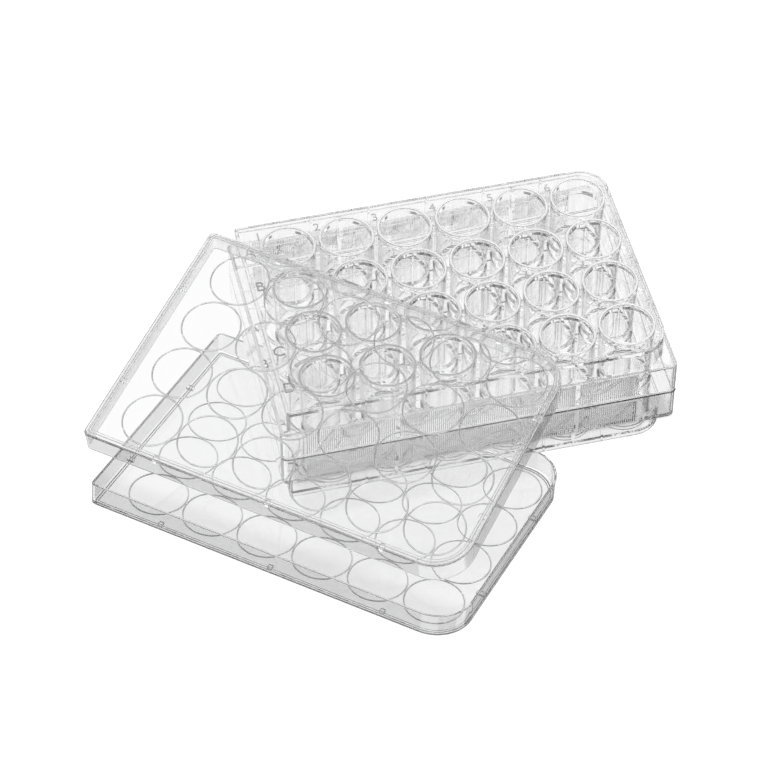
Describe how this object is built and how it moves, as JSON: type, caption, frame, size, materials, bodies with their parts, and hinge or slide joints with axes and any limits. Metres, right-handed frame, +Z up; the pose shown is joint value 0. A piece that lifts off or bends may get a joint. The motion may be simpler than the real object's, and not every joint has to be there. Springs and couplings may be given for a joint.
{
  "type": "24-well plate with lid",
  "caption": "Clear polystyrene cell culture plate with round flat-bottomed wells, and its loose clear lid leaning on one corner and on the well rims.",
  "frame": {"origin": "middle of the plate's footprint, on the surface that it stands on", "axes": "+X along the rows of wells from column 1 to column 6, +Y from row D to row A, +Z up out of the wells"},
  "size_m": [0.1868, 0.1498, 0.0287],
  "materials": {
    "plate": "clear moulded polystyrene, polished",
    "lid": "clear moulded polystyrene, polished"
  },
  "bodies": {
    "root": {"plate": "plate", "lid": "lid"}
  },
  "joints": []
}
